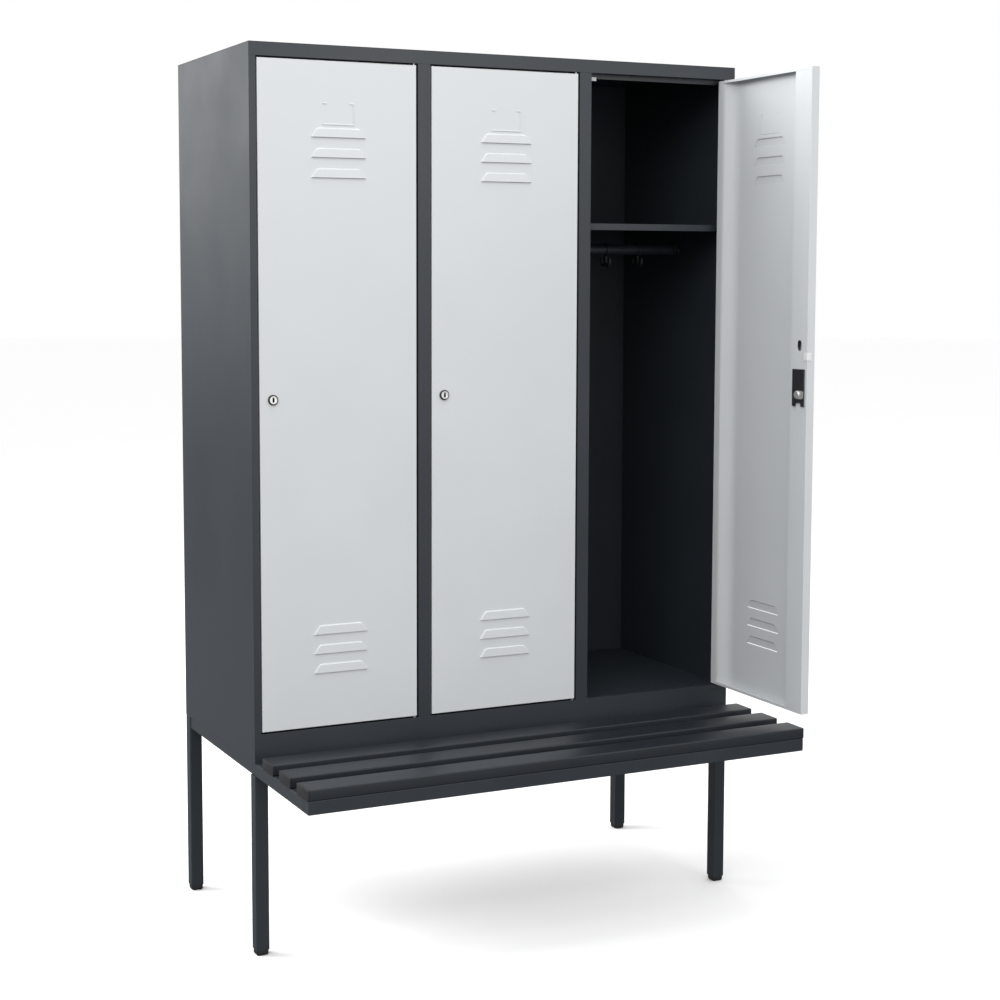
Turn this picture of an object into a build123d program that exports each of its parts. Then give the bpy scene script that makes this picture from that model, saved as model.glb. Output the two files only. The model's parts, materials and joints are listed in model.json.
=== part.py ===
from build123d import *
import os
from math import atan2, cos, degrees, radians, sin

# Clothes locker with three doors, standing on a frame that carries a slatted bench in front.
# Millimetres. +X runs to the right along the front, +Y to the back and +Z up.
# The origin is on the floor, under the middle of the outline with the right door open.

# Locker body, folded from sheet steel
compartments = ("left", "middle", "right")
compartment_pitch = 400.0
body_depth = 500.0
body_height = 1529.0
sheet = 1.0
overrun = 2.0

# Front frame: its visible faces, and the folds behind them
stile_half = 15.0
stile_return = 18.0
top_rail_face = 29.0
sill_face = 63.0
stop_depth = 21.0
stop_lip = 11.0
sill_step = 6.0
base_flange = 30.0

# Inside fittings
shelf_drop = 366.0
shelf_lip = 15.0
shelf_return = 12.0
shelf_setback = 25.0
shelf_play = 0.3
clip_sheet = 1.5
clip_height = 12.0
clip_arm = 12.0
clip_length = 20.0
clip_place_shares = (0.2, 0.8)
coat_rail_radius = 12.5
coat_rail_wall = 1.5
coat_rail_drop = 56.0
coat_rail_place_share = 0.5
socket_flange_radius = 20.0
socket_flange_sheet = 2.5
socket_collar_radius = 15.5
socket_length = 12.0
socket_play = 0.3

# Coat hooks that slide on the rails
hooks_per_rail = 3
hook_pitch = 90.0
hook_ring_radius = 16.0
hook_ring_width = 7.0
hook_ring_play = 0.4
hook_width = 6.0
hook_stem = 8.0
hook_drop = 30.0
hook_throat = 7.0
hook_prong = 5.0
hook_tip_height = 7.0

# Doors: shallow pans that pivot on pins near their right edge
door_thickness = 20.0
lock_gap = 2.8
hinge_gap = 4.2
rail_gap = 4.0
hinge_inset = 4.2
hinge_lip = 18.0
door_lip = 6.0
door_fold = 1.2
hinge_ramp = 50.0
rest_angles = (0.0, 0.0, 90.0)
pin_radius = 2.0
running_fit = 0.05
pin_head_radius = 2.9
pin_head_height = 2.0
pin_engagement = 9.0
seat_play = 0.3

# Louvres pressed out of the doors, three above and three below
louvre_width = 126.0
louvre_height = 20.0
louvre_crown = 98.0
louvre_proud = 3.2
louvre_step = 2.2
louvre_corner = 9.0
louvre_pitch = 42.5
louvre_rows = 3
upper_louvre_drop = 160.0
lower_louvre_rise = 118.0
louvre_splay_share = 0.4

# Card holder pressed above the louvres
card_width = 70.0
card_height = 44.0
card_drop = 89.0
ridge_width = 2.6
ridge_groove = 1.2
ridge_proud = 1.2
card_tab = 9.0

# Lock side of the doors
channel_width = 60.0
lock_backset = 29.4
lock_height = 1207.5
port_width = 14.5
port_height = 23.6
port_rise = 108.5
case_edge = 6.5
case_width = 43.0
case_depth = 3.8
case_wall = 1.2
case_play = 0.4
case_above = 56.5
case_below = 25.5
case_notch_width = 20.0
case_notch_height = 7.5
barrel_radius = 9.0
barrel_head_radius = 11.0
barrel_head_proud = 5.0
barrel_bevel = 2.0
barrel_play = 0.1
plug_radius = 6.5
plug_recess = 0.4
key_slot_width = 3.2
key_slot_height = 10.0
key_slot_depth = 8.0
cam_sheet = 2.0
cam_lift = 0.3
cam_reach = 42.0
cam_width = 14.0
plug_nut_radius = 9.0
plug_nut_height = 5.0
plug_nut_bevel = 1.0

# Plastic buffers that the doors close against
edge_buffer_rise = 85.0
edge_buffer_height = 17.0
edge_buffer_proud = 1.2
edge_buffer_wrap = 11.0
stop_buffer_inset = 9.0
stop_buffer_width = 15.0
stop_buffer_below = 4.5
stop_buffer_above = 4.0
stop_buffer_back = 2.0
stop_buffer_pad = 0.6

# Bench frame of square tube, and the slats on it
seat_frame_top = 426.0
bench_reach = 315.0
leg_size = 30.0
leg_corner = 3.0
tube_wall = 2.0
rail_width = 25.0
rail_height = 28.0
vent_radius = 3.0
slat_width = 64.0
slat_thickness = 24.0
slat_back_gap = 45.0
slat_end_gap = 1.0
slat_round = 3.0
slat_names = ("front", "middle", "rear")

# Feet, screws and bolts
foot_cap = 12.0
foot_size = 28.0
foot_corner = 6.0
foot_round = 5.0
foot_plug_play = 0.2
foot_plug_length = 20.0
screw_radius = 2.5
screw_head_radius = 5.0
screw_head_height = 3.0
screw_bite = 18.0
screw_play = 0.5
screw_spacing_share = 0.5
bolt_radius = 4.0
bolt_play = 0.5
bolt_head_radius = 7.5
bolt_head_height = 5.3
nut_height = 6.5
bolt_inset = 150.0

# Places that follow from the sizes
body_width = compartment_pitch * len(compartments)
left = -body_width / 2
right = body_width / 2
door_width = compartment_pitch - 2 * stile_half - lock_gap - hinge_gap
lock_edge = hinge_inset - door_width
outer_face = -hinge_inset
inner_face = door_thickness - hinge_inset


def reach_in_front(angle):
    """How far a door opened by this angle stands out in front of the body."""
    buffer_corner = (lock_edge - edge_buffer_proud, inner_face + edge_buffer_proud)
    corners = ((lock_edge, outer_face), buffer_corner, (hinge_inset, outer_face))
    return max(-x * sin(radians(angle)) - y * cos(radians(angle)) for x, y in corners) - hinge_inset


outline_reach = max([bench_reach] + [reach_in_front(angle) for angle in rest_angles])
front = (outline_reach - body_depth) / 2
back = front + body_depth
body_bottom = seat_frame_top
body_top = body_bottom + body_height
rail_edge = body_top - top_rail_face
sill_top = body_bottom + sill_face
floor_top = sill_top - sill_step
door_top = rail_edge - rail_gap
door_bottom = sill_top + rail_gap
stop_front = front + stop_depth
shelf_top = body_top - shelf_drop
shelf_bottom = shelf_top - sheet
coat_rail_z = shelf_top - coat_rail_drop
coat_rail_y = front + body_depth * coat_rail_place_share
hinge_y = front + hinge_inset
rail_underside = seat_frame_top - rail_height
hook_crook_z = coat_rail_z - hook_drop

cell_walls = []
hinge_places = []
for number in range(len(compartments)):
    cell_left = left + number * compartment_pitch
    cell_right = cell_left + compartment_pitch
    wall_left = cell_left + (sheet if number == 0 else sheet / 2)
    wall_right = cell_right - (sheet if number == len(compartments) - 1 else sheet / 2)
    cell_walls.append((wall_left, wall_right))
    hinge_places.append((cell_right - stile_half - hinge_gap - hinge_inset, hinge_y))

CORNER = (Align.MIN, Align.MIN)


def rect(low_x, low_y, high_x, high_y, mode=Mode.ADD):
    """A rectangle between two corners, on the plane of the sketch that calls it."""
    with Locations((low_x, low_y)):
        Rectangle(high_x - low_x, high_y - low_y, align=CORNER, mode=mode)


def save(builder, label):
    """Names a finished piece and writes it."""
    builder.part.label = label
    export_step(builder.part, f"parts/{label}.step")


os.makedirs("parts", exist_ok=True)

# Body panels
for side, x in (("left", left), ("right", right - sheet)):
    with BuildPart() as side_panel:
        with BuildSketch(Plane.YZ.offset(x)):
            rect(front + sheet, body_bottom, back, body_top - sheet)
        extrude(amount=sheet)
    save(side_panel, f"side_panel_{side}")

with BuildPart() as back_panel:
    with BuildSketch(Plane.XZ.offset(-back)):
        rect(left + sheet, body_bottom, right - sheet, body_top - sheet)
    extrude(amount=sheet)
save(back_panel, "back_panel")

with BuildPart() as roof_panel:
    with BuildSketch(Plane.XY.offset(body_top - sheet)):
        rect(left, front, right, back)
    extrude(amount=sheet)
save(roof_panel, "roof_panel")

# The floor is an upturned tray: a plate, skirts at the sides and back, and flanges for the bolts
rail_flange_end = front + base_flange + sheet
bolt_places = [
    (x, y)
    for x in (left + bolt_inset, right - bolt_inset)
    for y in (front + leg_size / 2, back - leg_size / 2)
]
with BuildPart() as floor_panel:
    with BuildSketch(Plane.XY.offset(floor_top - sheet)):
        rect(left + sheet, front + sheet, right - sheet, back - sheet)
    extrude(amount=sheet)
    with BuildSketch(Plane.XY.offset(body_bottom)):
        rect(left + sheet, rail_flange_end, right - sheet, back - sheet)
        rect(left + 2 * sheet, rail_flange_end, right - 2 * sheet, back - 2 * sheet, Mode.SUBTRACT)
    extrude(amount=floor_top - sheet - body_bottom)
    with BuildSketch(Plane.XY.offset(body_bottom)):
        rect(left + sheet, rail_flange_end, right - sheet, back - sheet)
        rect(
            left + base_flange + sheet,
            rail_flange_end,
            right - base_flange - sheet,
            back - base_flange - sheet,
            Mode.SUBTRACT,
        )
        with Locations(*[place for place in bolt_places if place[1] > rail_flange_end]):
            Circle(bolt_radius + bolt_play, mode=Mode.SUBTRACT)
    extrude(amount=sheet)
save(floor_panel, "floor_panel")

for number, name in enumerate(("left", "right")):
    x = left + (number + 1) * compartment_pitch - sheet / 2
    with BuildPart() as partition:
        with BuildSketch(Plane.YZ.offset(x)):
            rect(front + sheet, floor_top, back - sheet, body_top - sheet)
            rect(front, rail_edge - stop_lip, stop_front + sheet, body_top, Mode.SUBTRACT)
            rect(front, floor_top - overrun, stop_front + sheet, sill_top, Mode.SUBTRACT)
        extrude(amount=sheet)
    save(partition, f"partition_{name}")

# Front frame
with BuildPart() as frame_top_rail:
    with BuildSketch(Plane.YZ.offset(left)):
        rect(front, rail_edge, front + sheet, body_top - sheet)
    extrude(amount=body_width)
    with BuildSketch(Plane.YZ.offset(left + sheet)):
        rect(front, rail_edge, stop_front + sheet, rail_edge + sheet)
        rect(stop_front, rail_edge - stop_lip, stop_front + sheet, rail_edge + sheet)
    extrude(amount=body_width - 2 * sheet)
    with BuildSketch(Plane.XY.offset(rail_edge)):
        with Locations(*hinge_places):
            Circle(pin_radius + running_fit)
    extrude(amount=sheet, mode=Mode.SUBTRACT)
save(frame_top_rail, "frame_top_rail")

with BuildPart() as frame_bottom_rail:
    with BuildSketch(Plane.YZ.offset(left)):
        rect(front, body_bottom, front + sheet, sill_top)
    extrude(amount=body_width)
    with BuildSketch(Plane.YZ.offset(left + sheet)):
        rect(front, sill_top - sheet, stop_front + sheet, sill_top)
        rect(stop_front, floor_top, stop_front + sheet, sill_top)
        rect(front, body_bottom, front + base_flange, body_bottom + sheet)
    extrude(amount=body_width - 2 * sheet)
    with BuildSketch(Plane.XY.offset(sill_top - sheet)):
        with Locations(*hinge_places):
            Circle(pin_radius + running_fit)
    extrude(amount=sheet, mode=Mode.SUBTRACT)
    with BuildSketch(Plane.XY.offset(body_bottom)):
        with Locations(*[place for place in bolt_places if place[1] < rail_flange_end]):
            Circle(bolt_radius + bolt_play)
    extrude(amount=sheet, mode=Mode.SUBTRACT)
save(frame_bottom_rail, "frame_bottom_rail")

stiles = (
    ("left", left, (1,)),
    ("mid_left", left + compartment_pitch, (-1, 1)),
    ("mid_right", right - compartment_pitch, (-1, 1)),
    ("right", right, (-1,)),
)
for name, x, sides in stiles:
    with BuildPart() as stile:
        with BuildSketch(Plane.XY.offset(sill_top)):
            for side in sides:
                edge = x + side * stile_half
                rect(min(x, edge), front, max(x, edge), front + sheet)
                inner = edge - side * sheet
                rect(min(edge, inner), front, max(edge, inner), front + stile_return)
        extrude(amount=rail_edge - sill_top)
    save(stile, f"frame_stile_{name}")

# Hat shelves, their clips and the coat rails under them
with BuildPart() as hat_shelves:
    for wall_left, wall_right in cell_walls:
        with BuildSketch(Plane.YZ.offset(wall_left + shelf_play)):
            lip_front = front + shelf_setback
            rect(lip_front, shelf_bottom, back - sheet - shelf_play, shelf_top)
            rect(lip_front, shelf_top - shelf_lip, lip_front + sheet, shelf_top)
            lip_bottom = shelf_top - shelf_lip
            rect(lip_front, lip_bottom, lip_front + shelf_return, lip_bottom + sheet)
        extrude(amount=wall_right - wall_left - 2 * shelf_play)
save(hat_shelves, "hat_shelves")

with BuildPart() as shelf_clips:
    for wall_left, wall_right in cell_walls:
        for share in clip_place_shares:
            with BuildSketch(Plane.XZ.offset(-(front + body_depth * share + clip_length / 2))):
                rect(wall_left, shelf_bottom - clip_height, wall_left + clip_sheet, shelf_bottom)
                rect(wall_left, shelf_bottom - clip_sheet, wall_left + clip_arm, shelf_bottom)
                rect(wall_right - clip_sheet, shelf_bottom - clip_height, wall_right, shelf_bottom)
                rect(wall_right - clip_arm, shelf_bottom - clip_sheet, wall_right, shelf_bottom)
            extrude(amount=clip_length)
save(shelf_clips, "shelf_clips")

with BuildPart() as coat_rails:
    for wall_left, wall_right in cell_walls:
        rail_start = wall_left + socket_flange_sheet
        with BuildSketch(Plane.YZ.offset(rail_start)):
            with Locations((coat_rail_y, coat_rail_z)):
                Circle(coat_rail_radius)
                Circle(coat_rail_radius - coat_rail_wall, mode=Mode.SUBTRACT)
        extrude(amount=wall_right - socket_flange_sheet - rail_start)
save(coat_rails, "coat_rails")

with BuildPart() as rail_sockets:
    for wall_left, wall_right in cell_walls:
        for wall, side in ((wall_left, 1), (wall_right, -1)):
            with BuildSketch(Plane.YZ.offset(wall)):
                with Locations((coat_rail_y, coat_rail_z)):
                    Circle(socket_flange_radius)
            extrude(amount=side * socket_flange_sheet)
            with BuildSketch(Plane.YZ.offset(wall + side * socket_flange_sheet)):
                with Locations((coat_rail_y, coat_rail_z)):
                    Circle(socket_collar_radius)
                    Circle(coat_rail_radius + socket_play, mode=Mode.SUBTRACT)
            extrude(amount=side * (socket_length - socket_flange_sheet))
save(rail_sockets, "rail_sockets")

# Sliding coat hooks: a ring round the rail, a stem, and a prong to the front and to the back
for name, (wall_left, wall_right) in zip(compartments, cell_walls):
    middle = (wall_left + wall_right) / 2
    for number in range(hooks_per_rail):
        x = middle + (number - (hooks_per_rail - 1) / 2) * hook_pitch
        crook = hook_stem / 2 + hook_throat
        prong_middle = crook + hook_throat + hook_prong / 2
        with BuildPart() as hook:
            with BuildSketch(Plane.YZ.offset(x - hook_ring_width / 2)):
                with Locations((coat_rail_y, coat_rail_z)):
                    Circle(hook_ring_radius)
                    Circle(coat_rail_radius + hook_ring_play, mode=Mode.SUBTRACT)
            extrude(amount=hook_ring_width)
            with BuildSketch(Plane.YZ.offset(x - hook_width / 2)):
                with Locations((coat_rail_y, coat_rail_z)):
                    stem_half = hook_stem / 2
                    rect(-stem_half, -hook_drop - hook_throat, stem_half, -coat_rail_radius - hook_ring_play)
                for side in (-1, 1):
                    with Locations((coat_rail_y + side * crook, hook_crook_z)):
                        Circle(hook_throat + hook_prong)
                for side in (-1, 1):
                    crook_y = coat_rail_y + side * crook
                    with Locations((crook_y, hook_crook_z)):
                        Circle(hook_throat, mode=Mode.SUBTRACT)
                tip_reach = crook + hook_throat + hook_prong + overrun
                clear_low = coat_rail_z - hook_drop
                clear_high = coat_rail_z - hook_ring_radius
                for low, high in ((-tip_reach, -hook_stem / 2), (hook_stem / 2, tip_reach)):
                    rect(coat_rail_y + low, clear_low, coat_rail_y + high, clear_high, Mode.SUBTRACT)
                for side in (-1, 1):
                    tip_y = coat_rail_y + side * prong_middle
                    tip_z = hook_crook_z + hook_tip_height
                    rect(tip_y - hook_prong / 2, hook_crook_z, tip_y + hook_prong / 2, tip_z)
                    with Locations((tip_y, tip_z)):
                        Circle(hook_prong / 2)
            extrude(amount=hook_width)
        save(hook, f"coat_hook_{name}_{number + 1}")

# Hinge pins: the upper ones are riveted in the top rail, the lower ones have a shoulder on the sill
with BuildPart() as hinge_pins:
    upper_end = door_top - sheet - pin_engagement
    with BuildSketch(Plane.XY.offset(upper_end)):
        with Locations(*hinge_places):
            Circle(pin_radius)
    extrude(amount=rail_edge + sheet - upper_end)
    with BuildSketch(Plane.XY.offset(rail_edge + sheet)):
        with Locations(*hinge_places):
            Circle(pin_head_radius)
    extrude(amount=pin_head_height)
    lower_start = sill_top - sheet - pin_head_height
    with BuildSketch(Plane.XY.offset(lower_start)):
        with Locations(*hinge_places):
            Circle(pin_head_radius)
    extrude(amount=pin_head_height)
    with BuildSketch(Plane.XY.offset(sill_top - sheet)):
        with Locations(*hinge_places):
            Circle(pin_radius)
    extrude(amount=door_bottom + sheet + pin_engagement - sill_top + sheet)
    with BuildSketch(Plane.XY.offset(sill_top)):
        with Locations(*hinge_places):
            Circle(hinge_inset - seat_play)
    extrude(amount=rail_gap - seat_play)
save(hinge_pins, "hinge_pins")

# Stop buffers are clipped over the top rail's lip, near the lock side of each opening
with BuildPart() as door_stop_buffers:
    for number in range(len(compartments)):
        x = left + number * compartment_pitch + stile_half + stop_buffer_inset
        lip_bottom = rail_edge - stop_lip
        with BuildSketch(Plane.YZ.offset(x)):
            rect(
                stop_front - stop_buffer_pad,
                lip_bottom - stop_buffer_below,
                stop_front + sheet + stop_buffer_back,
                lip_bottom + stop_buffer_above,
            )
            rect(stop_front, lip_bottom, stop_front + sheet, lip_bottom + stop_buffer_above, Mode.SUBTRACT)
        extrude(amount=stop_buffer_width)
save(door_stop_buffers, "door_stop_buffers")


# Doors
def on_door(place, plane):
    """A plane of the closed door, carried to where the door stands."""
    return Plane(place * plane.location)


def louvre_outline(inset):
    """Half-moon outline of a louvre: a straight lower edge and a narrower top with round corners."""
    crown_half = louvre_crown / 2 - inset * louvre_splay_share
    foot_half = louvre_width / 2 - inset
    crown_z = louvre_height - inset
    Polygon((-foot_half, 0), (foot_half, 0), (crown_half, crown_z), (-crown_half, crown_z), align=None)
    fillet(vertices().group_by(Axis.Y)[-1], louvre_corner)


louvre_lean = -degrees(atan2(louvre_proud - louvre_step, louvre_height))
upper_rows = [door_top - upper_louvre_drop - row * louvre_pitch for row in range(louvre_rows)]
lower_rows = [door_bottom + lower_louvre_rise + row * louvre_pitch for row in range(louvre_rows)]
door_middle = lock_edge + door_width / 2
lock_x = lock_edge + lock_backset
case_left = lock_edge + case_edge
case_right = case_left + case_width
cam_front = inner_face + cam_lift
case_back = inner_face + case_depth

for name, hinge_place, rest_angle in zip(compartments, hinge_places, rest_angles):
    place = Location((*hinge_place, 0), (0, 0, rest_angle))
    outward = Axis(place.position, on_door(place, Plane.XZ).z_dir)

    with BuildPart() as door_panel:
        with BuildSketch(on_door(place, Plane.XZ.offset(-outer_face))):
            rect(lock_edge, door_bottom, hinge_inset, door_top)
        extrude(amount=-door_thickness)
        fillet(faces().sort_by(outward)[-1].edges(), door_fold)
        with BuildSketch(on_door(place, Plane.XZ.offset(-outer_face - sheet))):
            rect(lock_edge + sheet, door_bottom + sheet, hinge_inset - sheet, door_top - sheet)
        extrude(amount=2 * sheet - door_thickness, mode=Mode.SUBTRACT)
        with BuildSketch(on_door(place, Plane.XZ.offset(-inner_face))):
            rect(lock_edge + sheet, door_bottom + door_lip, hinge_inset - hinge_lip, door_top - door_lip)
        extrude(amount=sheet, mode=Mode.SUBTRACT)
        ramp_start = hinge_inset - hinge_lip
        ramp_end = ramp_start - hinge_ramp
        ramp_slope = (-hinge_ramp, outer_face - inner_face)
        with BuildSketch(on_door(place, Plane.XY.offset(door_bottom + sheet))):
            with BuildLine():
                rise = Spline(
                    (ramp_start, inner_face),
                    (ramp_end, outer_face + sheet),
                    tangents=(ramp_slope, (-hinge_ramp, 0)),
                )
                underside = Spline(
                    (ramp_start, inner_face - sheet),
                    (ramp_end, outer_face),
                    tangents=(ramp_slope, (-hinge_ramp, 0)),
                )
                Line(rise @ 0, underside @ 0)
                Line(rise @ 1, underside @ 1)
            make_face()
        extrude(amount=door_top - door_bottom - 2 * sheet)
        for depth, inset, mode in ((0, 0, Mode.ADD), (sheet, sheet, Mode.SUBTRACT)):
            for z in upper_rows + lower_rows:
                foot_place = (door_middle, outer_face + depth, z)
                foot = Plane(foot_place, x_dir=Plane.XZ.x_dir, z_dir=Plane.XZ.z_dir)
                hood = foot.offset(depth + louvre_proud - inset).rotated((louvre_lean, 0, 0))
                with BuildSketch(on_door(place, foot)):
                    louvre_outline(inset)
                with BuildSketch(on_door(place, hood)):
                    louvre_outline(inset + louvre_step)
                loft(ruled=True, mode=mode)
        card_top = door_top - card_drop
        card_bottom = card_top - card_height
        card_left = door_middle - card_width / 2
        card_right = door_middle + card_width / 2
        for width, depth, amount, mode in (
            (ridge_width, 0, ridge_proud, Mode.ADD),
            (ridge_groove, sheet, ridge_proud, Mode.SUBTRACT),
        ):
            half = width / 2
            with BuildSketch(on_door(place, Plane.XZ.offset(-outer_face - depth))):
                rect(card_right - half, card_bottom - half, card_right + half, card_top + half)
                rect(card_left - half, card_bottom - half, card_right + half, card_bottom + half)
                rect(card_right - card_tab, card_top - half, card_right + half, card_top + half)
                rect(card_left - half, card_top - half, card_left + card_tab, card_top + half)
            extrude(amount=amount, mode=mode)
        with BuildSketch(on_door(place, Plane.XZ.offset(-outer_face))):
            with Locations((lock_x, lock_height)):
                Circle(barrel_radius + barrel_play)
        extrude(amount=-sheet, mode=Mode.SUBTRACT)
        for z in (door_bottom, door_top - sheet):
            with BuildSketch(on_door(place, Plane.XY.offset(z))):
                Circle(pin_radius + running_fit)
            extrude(amount=sheet, mode=Mode.SUBTRACT)
    save(door_panel, f"door_panel_{name}")

    with BuildPart() as lock_channel:
        with BuildSketch(on_door(place, Plane.XY.offset(door_bottom + door_lip))):
            rect(lock_edge + sheet, inner_face - sheet, lock_edge + channel_width, inner_face)
            rect(
                lock_edge + channel_width - sheet,
                outer_face + sheet,
                lock_edge + channel_width,
                inner_face,
            )
        extrude(amount=door_top - door_bottom - 2 * door_lip)
        with BuildSketch(on_door(place, Plane.XZ.offset(-inner_face))):
            with Locations((lock_x, lock_height)):
                Circle(barrel_radius + barrel_play)
            with Locations((lock_x, lock_height + port_rise)):
                SlotOverall(port_height, port_width, rotation=90)
        extrude(amount=sheet, mode=Mode.SUBTRACT)
    save(lock_channel, f"lock_channel_{name}")

    with BuildPart() as lock_case:
        with BuildSketch(on_door(place, Plane.XZ.offset(-case_back))):
            rect(case_left, lock_height - case_below, case_right, lock_height + case_above)
        extrude(amount=case_depth)
        with BuildSketch(on_door(place, Plane.XZ.offset(-inner_face))):
            rect(
                case_left - overrun,
                lock_height - case_below + case_wall,
                case_right - case_wall,
                lock_height + case_above - case_wall,
            )
        extrude(amount=case_wall - case_depth, mode=Mode.SUBTRACT)
        with BuildSketch(on_door(place, Plane.XZ.offset(-case_back))):
            with Locations((lock_x, lock_height)):
                Circle(plug_nut_radius + case_play)
            with Locations((case_left + case_width / 2, lock_height - case_below)):
                Rectangle(case_notch_width, 2 * case_notch_height)
        extrude(amount=case_depth, mode=Mode.SUBTRACT)
    save(lock_case, f"lock_case_{name}")

    with BuildPart() as lock_barrel:
        with BuildSketch(on_door(place, Plane.XZ.offset(-outer_face))):
            with Locations((lock_x, lock_height)):
                Circle(barrel_head_radius)
        extrude(amount=barrel_head_proud)
        chamfer(faces().sort_by(outward)[-1].edges(), barrel_bevel)
        with BuildSketch(on_door(place, Plane.XZ.offset(-outer_face))):
            with Locations((lock_x, lock_height)):
                Circle(barrel_radius)
        extrude(amount=-door_thickness)
        with BuildSketch(on_door(place, Plane.XZ.offset(-outer_face + barrel_head_proud))):
            with Locations((lock_x, lock_height)):
                Circle(plug_radius + running_fit)
        extrude(amount=-barrel_head_proud - door_thickness, mode=Mode.SUBTRACT)
    save(lock_barrel, f"lock_barrel_{name}")

    with BuildPart() as lock_cam:
        plug_face = -outer_face + barrel_head_proud - plug_recess
        with BuildSketch(on_door(place, Plane.XZ.offset(plug_face))):
            with Locations((lock_x, lock_height)):
                Circle(plug_radius)
        extrude(amount=-plug_face - cam_front)
        with BuildSketch(on_door(place, Plane.XZ.offset(-cam_front))):
            with Locations((lock_x, lock_height + (cam_reach - cam_width / 2) / 2)):
                SlotOverall(cam_reach + cam_width / 2, cam_width, rotation=90)
        extrude(amount=-cam_sheet)
        with BuildSketch(on_door(place, Plane.XZ.offset(-cam_front - cam_sheet))):
            with Locations((lock_x, lock_height)):
                Circle(plug_nut_radius)
        extrude(amount=-plug_nut_height)
        chamfer(faces().sort_by(outward)[0].edges(), plug_nut_bevel)
        with BuildSketch(on_door(place, Plane.XZ.offset(plug_face))):
            with Locations((lock_x, lock_height)):
                SlotOverall(key_slot_height, key_slot_width, rotation=90)
        extrude(amount=-key_slot_depth, mode=Mode.SUBTRACT)
    save(lock_cam, f"lock_cam_{name}")

    with BuildPart() as edge_buffer:
        buffer_bottom = lock_height + edge_buffer_rise - edge_buffer_height / 2
        with BuildSketch(on_door(place, Plane.XY.offset(buffer_bottom))):
            rect(
                lock_edge - edge_buffer_proud,
                inner_face - edge_buffer_wrap,
                lock_edge,
                inner_face + edge_buffer_proud,
            )
            rect(
                lock_edge - edge_buffer_proud,
                inner_face,
                lock_edge + edge_buffer_wrap,
                inner_face + edge_buffer_proud,
            )
        extrude(amount=edge_buffer_height)
    save(edge_buffer, f"edge_buffer_{name}")

# Legs of square tube, one under each corner of the body
front_leg_y = front + leg_size / 2
rear_leg_y = back - leg_size / 2
legs = (
    ("front_left", left + leg_size / 2, front_leg_y, rail_underside),
    ("front_right", right - leg_size / 2, front_leg_y, rail_underside),
    ("rear_left", left + leg_size / 2, rear_leg_y, seat_frame_top),
    ("rear_right", right - leg_size / 2, rear_leg_y, seat_frame_top),
)
for name, x, y, top in legs:
    with BuildPart() as leg:
        with BuildSketch(Plane.XY.offset(foot_cap)):
            with Locations((x, y)):
                RectangleRounded(leg_size, leg_size, leg_corner)
                bore = leg_size - 2 * tube_wall
                RectangleRounded(bore, bore, leg_corner - tube_wall, mode=Mode.SUBTRACT)
        extrude(amount=top - foot_cap)
    save(leg, f"leg_{name}")

with BuildPart() as foot_plugs:
    for name, x, y, top in legs:
        with BuildPart(mode=Mode.PRIVATE) as foot:
            with BuildSketch():
                with Locations((x, y)):
                    RectangleRounded(foot_size, foot_size, foot_corner)
            extrude(amount=foot_cap)
            fillet(faces().sort_by(Axis.Z)[0].edges(), foot_round)
        add(foot.part)
        with BuildSketch(Plane.XY.offset(foot_cap)):
            with Locations((x, y)):
                shank = leg_size - 2 * tube_wall - 2 * foot_plug_play
                RectangleRounded(shank, shank, leg_corner - tube_wall)
        extrude(amount=foot_plug_length)
save(foot_plugs, "foot_plugs")

# Bench rails
front_rail_y = front - bench_reach
tube_inset = (leg_size - rail_width) / 2
arm_spans = (
    (left + tube_inset, front_rail_y + rail_width, back - leg_size),
    (-rail_width / 2, front_rail_y + rail_width, front + tube_inset),
    (right - tube_inset - rail_width, front_rail_y + rail_width, back - leg_size),
)
slat_run = bench_reach - slat_back_gap - slat_width
slat_pitch = slat_run / (len(slat_names) - 1)
slat_middles = [front_rail_y + slat_width / 2 + row * slat_pitch for row in range(len(slat_names))]
screw_places = [
    (x + rail_width / 2, y + side * slat_width * screw_spacing_share / 2)
    for x, start, end in arm_spans
    for y in slat_middles
    for side in (-1, 1)
]
front_screws = [place for place in screw_places if place[1] < front_rail_y + rail_width]
arm_screws = [place for place in screw_places if place[1] > front_rail_y + rail_width]


def tube_section(low_x, low_y):
    """Section of a rail, from its lower corner on the plane of the sketch that calls it."""
    rect(low_x, low_y, low_x + rail_width, low_y + rail_height)
    rect(
        low_x + tube_wall,
        low_y + tube_wall,
        low_x + rail_width - tube_wall,
        low_y + rail_height - tube_wall,
        Mode.SUBTRACT,
    )


with BuildPart() as bench_arms:
    for x, start, end in arm_spans:
        with BuildSketch(Plane.XZ.offset(-end)):
            tube_section(x, rail_underside)
        extrude(amount=end - start)
    with BuildSketch(Plane.XY.offset(rail_underside)):
        with Locations(*arm_screws):
            Circle(screw_radius + screw_play)
    extrude(amount=rail_height, mode=Mode.SUBTRACT)
save(bench_arms, "bench_arms")

with BuildPart() as bench_front_rail:
    with BuildSketch(Plane.YZ.offset(left + tube_inset)):
        rect(front_rail_y, rail_underside, front_rail_y + rail_width, seat_frame_top)
    extrude(amount=body_width - 2 * tube_inset)
    with BuildSketch(Plane.YZ.offset(left + tube_inset + tube_wall)):
        rect(
            front_rail_y + tube_wall,
            rail_underside + tube_wall,
            front_rail_y + rail_width - tube_wall,
            seat_frame_top - tube_wall,
        )
    extrude(amount=body_width - 2 * tube_inset - 2 * tube_wall, mode=Mode.SUBTRACT)
    with BuildSketch(Plane.XY.offset(rail_underside)):
        vent_y = front_rail_y + rail_width / 2
        with Locations((left + leg_size, vent_y), (right - leg_size, vent_y)):
            Circle(vent_radius)
    extrude(amount=tube_wall, mode=Mode.SUBTRACT)
    with BuildSketch(Plane.XY.offset(rail_underside)):
        with Locations(*front_screws):
            Circle(screw_radius + screw_play)
    extrude(amount=rail_height, mode=Mode.SUBTRACT)
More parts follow.
